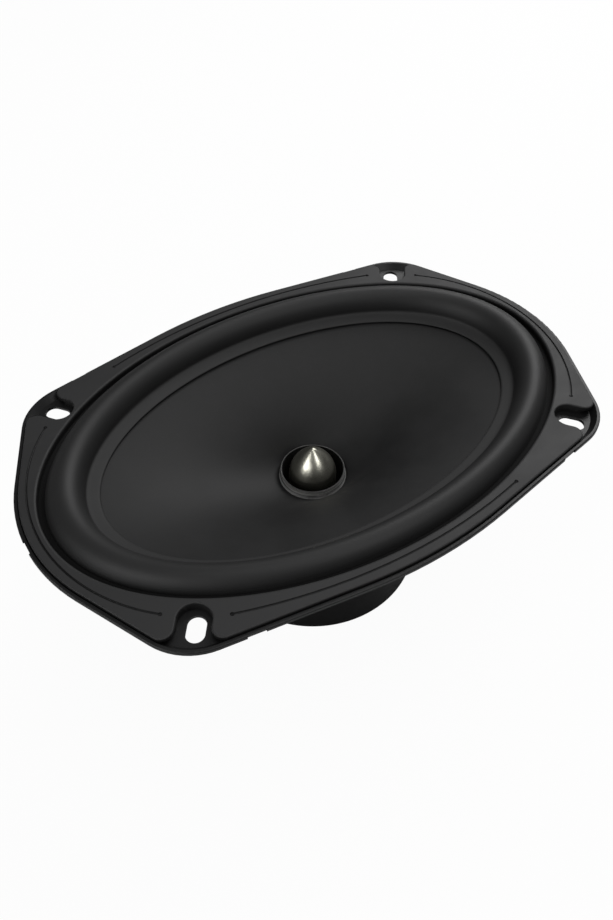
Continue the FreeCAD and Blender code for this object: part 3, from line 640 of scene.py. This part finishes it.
def board_laminate():
    """Brown pressed laminate with short fibres along its length."""
    tone = colours().board
    board = Recipe("board_laminate", Specular_IOR_Level=0.45)
    fibre = board.grain(1.0, 3.0, (500, 2600, 2600), 0.65)
    cloud = board.grain(240, 2.0)
    body = board.blend(fibre, toned(tone, 0.6), toned(tone, 1.5))
    return board.finish(
        Base_Color=board.blend(cloud * 0.4, body, toned(tone, 0.7)),
        Roughness=0.42 + cloud * 0.12,
        Normal=board.relief(fibre, 0.04 * MM, 0.5),
    )


def tinned_brass():
    """Stamped tabs: tin over brass, with marks along the strip."""
    tone = colours().brass
    brass = Recipe("tinned_brass", Metallic=1.0)
    strip = brass.grain(1.0, 2.0, (3200, 180, 180))
    worn = brass.span(brass.grain(420, 2.0), 0.56, 0.70)
    body = brass.blend(strip, toned(tone, 0.85), toned(tone, 1.1))
    gold = (tone[0] * 1.05, tone[1] * 0.88, tone[2] * 0.58)
    return brass.finish(
        Base_Color=brass.blend(worn * 0.5, body, gold),
        Roughness=0.24 + strip * 0.18,
        Normal=brass.relief(strip, 0.02 * MM, 0.4),
    )


def tinsel_braid():
    """Fine tinsel wound round a cotton core."""
    tone = colours().braid
    braid = Recipe("tinsel_braid", Metallic=0.8)
    winding = braid.grain(5200, 2.0)
    return braid.finish(
        Base_Color=braid.blend(winding, toned(tone, 0.4), toned(tone, 1.4)),
        Roughness=0.30 + winding * 0.2,
        Normal=braid.relief(winding, 0.08 * MM, 0.7),
    )


# ------------------------------------------------------------------ mesh helpers


def turned(profile, steps, closed=False):
    """A bmesh with a (radius, height) profile turned once about Z."""
    bm = bmesh.new()
    line = [bm.verts.new((radius, 0, height)) for radius, height in profile]
    edges = [bm.edges.new(pair) for pair in zip(line, line[1:])]
    if closed:
        edges.append(bm.edges.new((line[-1], line[0])))
    bmesh.ops.spin(
        bm,
        geom=line + edges,
        cent=(0, 0, 0),
        axis=UP,
        angle=math.tau,
        steps=steps,
        use_merge=True,
    )
    bmesh.ops.remove_doubles(bm, verts=bm.verts, dist=WELD)
    bmesh.ops.recalc_face_normals(bm, faces=bm.faces)
    return bm


def face_front(bm):
    """Turns an open sheet so that its faces look out of the front of the speaker."""
    if sum(face.normal.z * face.calc_area() for face in bm.faces) < 0:
        bmesh.ops.reverse_faces(bm, faces=bm.faces)


def made(name, bm, material, sharp=35.0):
    """A smooth-shaded object from a bmesh, with edges sharper than the angle kept crisp."""
    for face in bm.faces:
        face.smooth = True
    for edge in bm.edges:
        if len(edge.link_faces) == 2:
            edge.smooth = edge.calc_face_angle(0.0) < math.radians(sharp)
    mesh = bpy.data.meshes.new(name)
    bm.to_mesh(mesh)
    bm.free()
    mesh.materials.append(material)
    piece = bpy.data.objects.new(name, mesh)
    bpy.context.scene.collection.objects.link(piece)
    return piece


def thicken(piece, thickness):
    """Gives an open sheet its thickness, behind its front face."""
    wall = piece.modifiers.new("Thickness", "SOLIDIFY")
    wall.thickness = thickness
    wall.offset = -1.0
    wall.use_even_offset = True


def weigh(piece, weight):
    """Sets how far each point follows the moving cone, from 0 to 1."""
    shares = piece.data.attributes["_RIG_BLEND"].data
    for vertex in piece.data.vertices:
        shares[vertex.index].value = weight(vertex.co)


def eased(value, start, end):
    """0 before start, 1 after end, and smooth between."""
    share = max(0.0, min(1.0, (value - start) / (end - start)))
    return share * share * (3 - 2 * share)


def paint(node, material):
    """Gives a CAD node its finish."""
    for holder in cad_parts[node].material_slots:
        holder.material = material


# ------------------------------------------------------------------ shapes


def bowed(share, straight):
    """0 to 1 as the share goes from 0 to 1, on a curve that is straight where straight is 1."""
    return straight * share + (1 - straight) * share**3


def cone_section(share):
    """Half length, half width and height of the cone's front face, from neck (0) to edge (1)."""
    own = sizes()
    neck = own.cone_neck_radius
    half_length = neck + (CONE_HIGH.x - neck) * bowed(share, CONE_STRAIGHT_ALONG)
    half_width = neck + (CONE_HIGH.y - neck) * bowed(share, CONE_STRAIGHT_ACROSS)
    return half_length, half_width, own.cone_neck_z + (own.cone_edge_z - own.cone_neck_z) * share


def round_points(centre, half_length, rise, start, end, count):
    """Points along an elliptical arc in the profile plane, angles in degrees."""
    points = []
    for i in range(count + 1):
        angle = math.radians(start + (end - start) * i / count)
        across = centre[0] + half_length * math.cos(angle)
        points.append((across, centre[1] + rise * math.sin(angle)))
    return points


def surround_half_width(half_length):
    """Half width of the surround's oval that has this half length."""
    own = sizes()
    ovals = (
        (own.band_inner_length, own.band_inner_width),
        (own.roll_inner_length, own.roll_inner_width),
        (own.roll_outer_length, own.roll_outer_width),
        (SURROUND_HIGH.x, SURROUND_HIGH.y),
    )
    for (low, low_width), (high, high_width) in zip(ovals, ovals[1:]):
        if half_length <= high or high == SURROUND_HIGH.x:
            return low_width + (high_width - low_width) * (half_length - low) / (high - low)


def surround_profile():
    """Front face of the surround on the long axis: lip, half roll and band."""
    own = sizes()
    middle = (own.roll_outer_length + own.roll_inner_length) / 2
    half = (own.roll_outer_length - own.roll_inner_length) / 2
    rise = SURROUND_HIGH.z - own.roll_foot
    start = math.degrees(math.asin((own.surround_lip - own.roll_foot) / rise))
    end = 176
    crease = 0.35 * MM
    edge_round = 0.2 * MM
    profile = [
        (SURROUND_HIGH.x - 0.1 * MM, own.surround_lip),
        (own.roll_outer_length + 1 * MM, own.surround_lip),
    ]
    profile += round_points((middle, own.roll_foot), half, rise, start, end, 34)
    profile.append((own.roll_inner_length - crease, own.roll_foot))
    width = own.roll_inner_length - own.band_inner_length
    drop = own.roll_foot - own.band_inner_z
    for share in (0.2, 0.4, 0.6, 0.8, 0.95):
        profile.append((own.roll_inner_length - width * share, own.roll_foot - drop * share))
    profile.append((own.band_inner_length, own.band_inner_z - edge_round))
    return profile


def place_on_oval(vertex):
    """Squeezes a turned point of the surround to its oval."""
    radius = math.hypot(vertex.co.x, vertex.co.y)
    vertex.co.y *= surround_half_width(radius) / radius


def corrugated_profile():
    """Front face of the spider from its outer lip to its neck."""
    own = sizes()
    neck = FORMER_HIGH.x + 0.3 * MM
    last_wave = neck + 1.5 * MM
    middle = SPIDER_LOW.z + (SPIDER_HIGH.z - SPIDER_LOW.z + own.spider_sheet) / 2
    rise = (SPIDER_HIGH.z - SPIDER_LOW.z - own.spider_sheet) / 2
    steps = own.spider_rolls * 14
    profile = [(SPIDER_HIGH.x - 0.05 * MM, middle), (own.spider_lip + 2 * MM, middle)]
    for i in range(steps + 1):
        radius = own.spider_lip + (last_wave - own.spider_lip) * i / steps
        turn = math.tau * own.spider_rolls * i / steps
        profile.append((radius, middle + rise * math.sin(turn)))
    profile.append((neck, middle))
    return profile


def plug_profile():
    """Outline of the phase plug from the middle of its foot to its tip."""
    own = sizes()
    radius = PLUG_HIGH.x
    shoulder = own.plug_shoulder_z
    rise = PLUG_HIGH.z - shoulder
    tip_round = 0.55 * MM
    edge = 0.3 * MM
    fullness = 2.2
    foot = PLUG_LOW.z + edge
    profile = [(0, PLUG_LOW.z), (radius - edge, PLUG_LOW.z), (radius, foot)]
    profile += [(radius, foot + (shoulder - foot) * i / 8) for i in range(1, 8)]
    steps = 36
    for i in range(steps):
        share = i / steps
        width = (radius - tip_round) * (1 - share**fullness) + tip_round
        profile.append((width, shoulder + rise * share))
    profile.append((tip_round * 0.8, PLUG_HIGH.z - 0.12 * MM))
    profile.append((0, PLUG_HIGH.z))
    return profile


def winding_profile():
    """Outline of the voice coil: a half round for each turn of wire."""
    pitch = (COIL_HIGH.z - COIL_LOW.z) / sizes().coil_turns
    inner = FORMER_HIGH.x + 0.02 * MM
    valley = COIL_HIGH.x - pitch / 2
    profile = [(inner, COIL_HIGH.z)]
    arc = 75
    for turn in range(sizes().coil_turns):
        centre = COIL_HIGH.z - pitch * (turn + 0.5)
        profile += round_points((valley, centre), pitch / 2, pitch / 2, arc, -arc, 4)
    profile.append((inner, COIL_LOW.z))
    return profile


def glue_fillet():
    """A hollow fillet of glue round the former, laid on the cone's neck, slightly uneven."""
    foot = BEAD_LOW.z + 0.15 * MM
    inner = FORMER_HIGH.x + 0.01 * MM
    reach = BEAD_HIGH.x - inner
    rise = BEAD_HIGH.z - foot
    profile = [(inner, foot)]
    for i in range(9):
        angle = math.radians(90 * i / 8)
        across = inner + reach * (1 - math.sin(angle)) + 0.02 * MM
        profile.append((across, foot + rise * (1 - math.cos(angle))))
    profile.append((inner, BEAD_HIGH.z))
    bm = turned(profile, GLUE_STEPS, closed=True)
    lumps_per_metre = 180
    unevenness = 0.25
    for vertex in bm.verts:
        if vertex.co.xy.length > inner + 0.1 * MM:
            wobble = noise.noise(vertex.co * lumps_per_metre)
            vertex.co.z += (vertex.co.z - foot) * unevenness * wobble
    return bm


def lead_centreline(side):
    """Points along a smooth curve through the lead's route."""
    curve = bpy.data.curves.new("route", "CURVE")
    curve.dimensions = "3D"
    spline = curve.splines.new("NURBS")
    spline.points.add(len(LEAD_ROUTE) - 1)
    for knot, (x, y, z) in zip(spline.points, LEAD_ROUTE):
        knot.co = (side * x, y, z, 1.0)
    spline.order_u = 3
    spline.use_endpoint_u = True
    spline.resolution_u = 24
    holder = bpy.data.objects.new("route", curve)
    line = bpy.data.meshes.new_from_object(holder)
    points = [vertex.co.copy() for vertex in line.vertices]
    bpy.data.objects.remove(holder)
    bpy.data.meshes.remove(line)
    bpy.data.curves.remove(curve)
    return points


def evenly_spaced(points, step):
    """Points at even steps along a line, with both of its ends."""
    spans = [(b - a).length for a, b in zip(points, points[1:])]
    total = sum(spans)
    steps = max(2, round(total / step))
    spaced = []
    index = 0
    passed = 0.0
    for i in range(steps + 1):
        wanted = total * i / steps
        while index < len(spans) - 1 and passed + spans[index] < wanted:
            passed += spans[index]
            index += 1
        share = min(1.0, (wanted - passed) / spans[index])
        spaced.append(points[index].lerp(points[index + 1], share))
    return spaced


def twisted_lead(name, side, material):
    """Strands wound round the lead's centreline, as one mesh."""
    own = sizes()
    per_twist = 14
    line = evenly_spaced(lead_centreline(side), own.lead_pitch / per_twist)
    strand_share = 0.46
    strand_radius = own.lead_radius * strand_share
    offset = own.lead_radius - strand_radius
    curve = bpy.data.curves.new(name, "CURVE")
    curve.dimensions = "3D"
    curve.bevel_depth = strand_radius
    curve.bevel_resolution = 2
    curve.use_fill_caps = True
    curve.resolution_u = 1
    strands = [curve.splines.new("POLY") for _ in range(own.lead_strands)]
    for strand in strands:
        strand.points.add(len(line) - 1)
    across = Vector((1, 0, 0))
    for i, here in enumerate(line):
        ahead = (line[min(i + 1, len(line) - 1)] - line[max(i - 1, 0)]).normalized()
        across = (across - ahead * across.dot(ahead)).normalized()
        other = ahead.cross(across)
        for number, strand in enumerate(strands):
            angle = math.tau * (i / per_twist + number / own.lead_strands)
            place = here + (across * math.cos(angle) + other * math.sin(angle)) * offset
            strand.points[i].co = (*place, 1.0)
    holder = bpy.data.objects.new(name, curve)
    mesh = bpy.data.meshes.new_from_object(holder)
    bpy.data.objects.remove(holder)
    bpy.data.curves.remove(curve)
    bm = bmesh.new()
    bm.from_mesh(mesh)
    bpy.data.meshes.remove(mesh)
    bmesh.ops.remove_doubles(bm, verts=bm.verts, dist=WELD)
    bmesh.ops.recalc_face_normals(bm, faces=bm.faces)
    return made(name, bm, material, sharp=60.0)


# ------------------------------------------------------------------ operators


class SPEAKER_OT_basket(Operator):
    """Paint the pressed steel basket"""

    bl_idname = "speaker.basket"
    bl_label = "Basket"

    def execute(self, context):
        paint("basket", steel_paint())
        return {"FINISHED"}


class SPEAKER_OT_trim_ring(Operator):
    """Finish the moulded trim ring"""

    bl_idname = "speaker.trim_ring"
    bl_label = "Trim ring"

    def execute(self, context):
        paint("trim_ring", ring_rubber())
        return {"FINISHED"}


class SPEAKER_OT_surround(Operator):
    """Model the rubber surround, which bends between the basket and the cone"""

    bl_idname = "speaker.surround"
    bl_label = "Surround"

    def execute(self, context):
        own = sizes()
        bm = turned(surround_profile(), OVAL_STEPS)
        for vertex in bm.verts:
            place_on_oval(vertex)
        face_front(bm)
        piece = made("surround_roll", bm, surround_rubber(), sharp=50.0)
        thicken(piece, own.surround_sheet)
        outer = own.roll_outer_length
        inner = own.roll_inner_length
        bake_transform(piece, CHASSIS, MOVING, start=(outer, 0, 0), end=(inner, 0, 0))

        def share(place):
            in_outer = math.hypot(place.x / outer, place.y / own.roll_outer_width)
            in_inner = math.hypot(place.x / inner, place.y / own.roll_inner_width)
            return 1 - eased((in_inner - 1) / (in_inner - in_outer), 0, 1)

        weigh(piece, share)
        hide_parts("surround")
        return {"FINISHED"}


class SPEAKER_OT_cone(Operator):
    """Model the cone as one curved sheet"""

    bl_idname = "speaker.cone"
    bl_label = "Cone"

    def execute(self, context):
        rows = 36
        last = 0.985
        shares = [last * i / rows for i in range(rows + 1)]
        bm = turned([(cone_section(share)[0], share) for share in shares], OVAL_STEPS)
        for vertex in bm.verts:
            angle = math.atan2(vertex.co.y, vertex.co.x)
            half_length, half_width, height = cone_section(vertex.co.z)
            vertex.co = (half_length * math.cos(angle), half_width * math.sin(angle), height)
        face_front(bm)
        piece = made("cone_body", bm, cone_polymer(), sharp=50.0)
        thicken(piece, sizes().cone_sheet)
        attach(piece, MOVING)
        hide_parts("cone")
        return {"FINISHED"}


class SPEAKER_OT_voice_coil(Operator):
    """Wind the voice coil and finish its former, glue and solder"""

    bl_idname = "speaker.voice_coil"
    bl_label = "Voice coil"

    def execute(self, context):
        bm = turned(winding_profile(), COIL_STEPS, closed=True)
        winding = made("coil_turns", bm, copper_wire(), sharp=70.0)
        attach(winding, MOVING)
        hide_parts("voice_coil_winding")
        bead = made("neck_glue", glue_fillet(), grey_glue(), sharp=60.0)
        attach(bead, MOVING)
        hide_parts("neck_glue_bead")
        paint("voice_coil_former", former_foil())
        paint("lead_solder_joints", solder())
        return {"FINISHED"}


class SPEAKER_OT_spider(Operator):
    """Model the corrugated cloth spider and finish its spacer ring"""

    bl_idname = "speaker.spider"
    bl_label = "Spider"

    def execute(self, context):
        own = sizes()
        bm = turned(corrugated_profile(), ROUND_STEPS)
        face_front(bm)
        piece = made("spider_cloth", bm, woven_cloth(), sharp=60.0)
        thicken(piece, own.spider_sheet)
        neck = FORMER_HIGH.x + 1.5 * MM
        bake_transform(piece, CHASSIS, MOVING, start=(own.spider_lip, 0, 0), end=(neck, 0, 0))
        weigh(piece, lambda place: eased(-place.xy.length, -own.spider_lip, -neck))
        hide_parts("spider")
        paint("spider_spacer_ring", black_plastic())
        return {"FINISHED"}


class SPEAKER_OT_phase_plug(Operator):
    """Turn the pointed phase plug"""

    bl_idname = "speaker.phase_plug"
    bl_label = "Phase plug"

    def execute(self, context):
        bm = turned(plug_profile(), ROUND_STEPS)
        piece = made("plug_body", bm, turned_metal(), sharp=50.0)
        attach(piece, CHASSIS)
        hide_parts("phase_plug")
        return {"FINISHED"}


class SPEAKER_OT_motor(Operator):
    """Finish the plates, the magnet, its cover and the fasteners"""

    bl_idname = "speaker.motor"
    bl_label = "Motor"

    def execute(self, context):
        plates = motor_plate()
        paint("top_plate", plates)
        paint("pole_yoke", plates)
        paint("ferrite_magnet", ground_ferrite())
        paint("magnet_cover", cover_rubber())
        zinc = zinc_plate()
        for node in ("basket_screws", "plug_stud", "terminal_board_rivets"):
            paint(node, zinc)
        return {"FINISHED"}


class SPEAKER_OT_terminals(Operator):
    """Finish the terminal board and its two tabs"""

    bl_idname = "speaker.terminals"
    bl_label = "Terminals"

    def execute(self, context):
        paint("terminal_board", board_laminate())
        brass = tinned_brass()
        paint("terminal_positive", brass)
        paint("terminal_negative", brass)
        return {"FINISHED"}


class SPEAKER_OT_leads(Operator):
    """Twist the two tinsel leads, which bend as the cone moves"""

    bl_idname = "speaker.leads"
    bl_label = "Tinsel leads"

    def execute(self, context):
        material = tinsel_braid()
        still_y = LEAD_ROUTE[1][1]
        moving_y = LEAD_ROUTE[-1][1] + 2 * MM
        for sign, word in ((1, "positive"), (-1, "negative")):
            piece = twisted_lead("lead_" + word, sign, material)
            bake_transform(piece, CHASSIS, MOVING, start=(0, still_y, 0), end=(0, moving_y, 0))
            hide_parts("tinsel_lead_" + word)
        return {"FINISHED"}


# ------------------------------------------------------------------ stage


def pale_floor():
    """A pale floor that reads as white and keeps a soft shadow."""
    tone = colours().floor
    floor = Recipe("pale_floor", Specular_IOR_Level=0.1)
    cloud = floor.grain(3.0, 2.0)
    surface = floor.finish(
        Base_Color=floor.blend(cloud, toned(tone, 0.985), tone),
        Roughness=0.8 + cloud * 0.05,
    )
    seen = floor.node("ShaderNodeLightPath", {}, {}, "Is Camera Ray")
    white = floor.node("ShaderNodeEmission", {}, {"Color": (1, 1, 1, 1), "Strength": 1.0})
    lit = Signal(floor, floor.shader.outputs[0])
    shares = {0: seen * FLOOR_WHITE_SHARE, 1: lit, 2: white}
    mixed = floor.node("ShaderNodeMixShader", {}, shares)
    output = next(n for n in floor.tree.nodes if n.type == "OUTPUT_MATERIAL")
    floor.tree.links.new(mixed.socket, output.inputs[0])
    return surface


def lamp(name, place, size, power, only_shine):
    """A rectangular softbox that looks at the speaker; it may show in reflections alone."""
    data = bpy.data.lights.new(name, "AREA")
    data.shape = "RECTANGLE"
    data.size, data.size_y = size
    data.energy = power
    box = bpy.data.objects.new(name, data)
    box.location = place
    box.rotation_euler = (-Vector(place)).to_track_quat("-Z", "Y").to_euler()
    box.visible_diffuse = not only_shine
    bpy.context.scene.collection.objects.link(box)


def set_world(level, sheen):
    """An even white room to the eye, dimmer as a light and in reflections."""
    world = bpy.data.worlds.new("room")
    bpy.context.scene.world = world
    world.use_nodes = True
    tree = world.node_tree
    tree.nodes.clear()
    paths = tree.nodes.new("ShaderNodeLightPath")
    lit = tree.nodes.new("ShaderNodeMapRange")
    lit.inputs["To Min"].default_value = level
    lit.inputs["To Max"].default_value = sheen
    tree.links.new(paths.outputs["Is Glossy Ray"], lit.inputs["Value"])
    strength = tree.nodes.new("ShaderNodeMix")
    strength.inputs["B"].default_value = 1.0
    tree.links.new(paths.outputs["Is Camera Ray"], strength.inputs["Factor"])
    tree.links.new(lit.outputs[0], strength.inputs["A"])
    light = tree.nodes.new("ShaderNodeBackground")
    light.inputs["Color"].default_value = (1, 1, 1, 1)
    tree.links.new(strength.outputs[0], light.inputs["Strength"])
    output = tree.nodes.new("ShaderNodeOutputWorld")
    tree.links.new(light.outputs[0], output.inputs[0])


def set_camera():
    """A camera above the near left end of the oval, looking down at it."""
    level = math.cos(CAMERA_ELEVATION)
    back = Vector(
        (
            math.sin(CAMERA_AZIMUTH) * level,
            -math.cos(CAMERA_AZIMUTH) * level,
            math.sin(CAMERA_ELEVATION),
        )
    )
    right = Vector((math.cos(CAMERA_AZIMUTH), math.sin(CAMERA_AZIMUTH), 0))
    up = back.cross(right)
    x_axis = right * math.cos(CAMERA_ROLL) + up * math.sin(CAMERA_ROLL)
    y_axis = up * math.cos(CAMERA_ROLL) - right * math.sin(CAMERA_ROLL)
    data = bpy.data.cameras.new("camera")
    data.lens = CAMERA_LENS
    data.clip_start = CAMERA_CLIP_START
    camera = bpy.data.objects.new("camera", data)
    turn = Matrix((x_axis, y_axis, back)).transposed().to_4x4()
    camera.matrix_world = Matrix.Translation(CAMERA_PLACE) @ turn
    bpy.context.scene.collection.objects.link(camera)
    bpy.context.scene.camera = camera


class SPEAKER_OT_stage(Operator):
    """Set the floor, the soft lights and the camera"""

    bl_idname = "speaker.stage"
    bl_label = "Stage"

    def execute(self, context):
        bm = bmesh.new()
        bmesh.ops.create_circle(bm, cap_ends=True, segments=96, radius=FLOOR_RADIUS)
        bmesh.ops.translate(bm, verts=bm.verts, vec=(0, 0, CAD_BOX[0].z))
        floor = made("floor", bm, pale_floor())
        for row in LAMPS:
            lamp(*row)
        set_world(WORLD_LEVEL, WORLD_SHEEN)
        context.scene.view_settings.view_transform = "Standard"
        set_camera()
        return {"FINISHED"}


class SPEAKER_PT_build(Panel):
    """Lists the steps that build the speaker, with its sizes and colours"""

    bl_idname = "SPEAKER_PT_build"
    bl_label = "Oval Car Speaker"
    bl_space_type = "VIEW_3D"
    bl_region_type = "UI"
    bl_category = "Speaker"

    def draw(self, context):
        steps = self.layout.column(align=True)
        for operator in OPERATORS:
            steps.operator(operator.bl_idname)
        for title, group in (("Sizes", sizes()), ("Colours", colours())):
            self.layout.label(text=title)
            column = self.layout.column(align=True)
            for name in group.bl_rna.properties.keys():
                if name not in ("rna_type", "name"):
                    column.prop(group, name)


OPERATORS = (
    SPEAKER_OT_basket,
    SPEAKER_OT_trim_ring,
    SPEAKER_OT_surround,
    SPEAKER_OT_cone,
    SPEAKER_OT_voice_coil,
    SPEAKER_OT_spider,
    SPEAKER_OT_phase_plug,
    SPEAKER_OT_motor,
    SPEAKER_OT_terminals,
    SPEAKER_OT_leads,
    SPEAKER_OT_stage,
)
CLASSES = (SpeakerSizes, SpeakerColours, *OPERATORS, SPEAKER_PT_build)


def register():
    for each in CLASSES:
        bpy.utils.register_class(each)
    bpy.types.Scene.speaker_sizes = PointerProperty(type=SpeakerSizes)
    bpy.types.Scene.speaker_colours = PointerProperty(type=SpeakerColours)


def unregister():
    del bpy.types.Scene.speaker_colours
    del bpy.types.Scene.speaker_sizes
    for each in reversed(CLASSES):
        bpy.utils.unregister_class(each)


def main():
    register()
    for operator in OPERATORS:
        group, name = operator.bl_idname.split(".")
        getattr(getattr(bpy.ops, group), name)()


if __name__ == "__main__":
    main()
